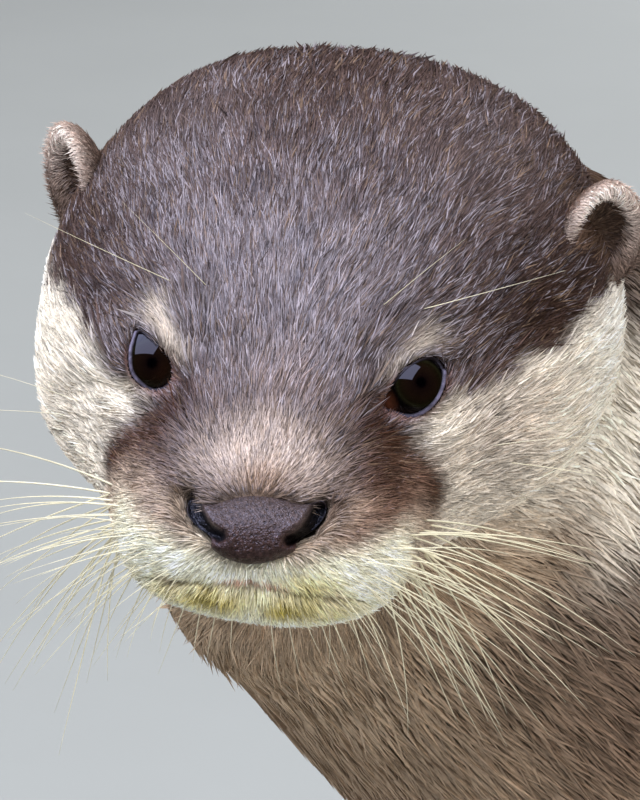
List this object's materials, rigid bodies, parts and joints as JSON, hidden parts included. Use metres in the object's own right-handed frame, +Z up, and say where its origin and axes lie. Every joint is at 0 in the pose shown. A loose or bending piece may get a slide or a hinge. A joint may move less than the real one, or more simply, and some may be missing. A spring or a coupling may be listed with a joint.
{
  "type": "otter",
  "caption": "Life-size small-clawed otter standing on four short legs, neck raised, face turned to its left and a long tail tapering behind it; a still display model.",
  "frame": {"origin": "middle of the bounding box, on the floor", "axes": "+Z up; the trunk lies along Y with the shoulders towards -Y; +X is the animal's left"},
  "size_m": [0.1726, 0.735, 0.2733],
  "materials": {
    "coat_dark": "short dense fur, dark brown",
    "coat_mid": "short dense fur, mid brown",
    "coat_pale": "short fur, cream",
    "nose_leather": "bare pebbled skin, moist",
    "eye_glass": "wet, clear over dark brown"
  },
  "bodies": {
    "root": {"head": "coat_dark", "jaw": "coat_pale", "nose": "nose_leather", "eye_left": "eye_glass", "eye_right": "eye_glass", "ear_left": "coat_mid", "ear_right": "coat_mid", "neck": "coat_mid", "chest": "coat_mid", "loin": "coat_mid", "tail_root": "coat_mid", "tail_middle": "coat_mid", "tail_tip": "coat_mid", "front_left_upper_arm": "coat_mid", "front_left_forearm": "coat_mid", "front_left_foot": "coat_mid", "front_right_upper_arm": "coat_mid", "front_right_forearm": "coat_mid", "front_right_foot": "coat_mid", "hind_left_thigh": "coat_mid", "hind_left_shank": "coat_mid", "hind_left_foot": "coat_mid", "hind_right_thigh": "coat_mid", "hind_right_shank": "coat_mid", "hind_right_foot": "coat_mid"}
  },
  "joints": []
}
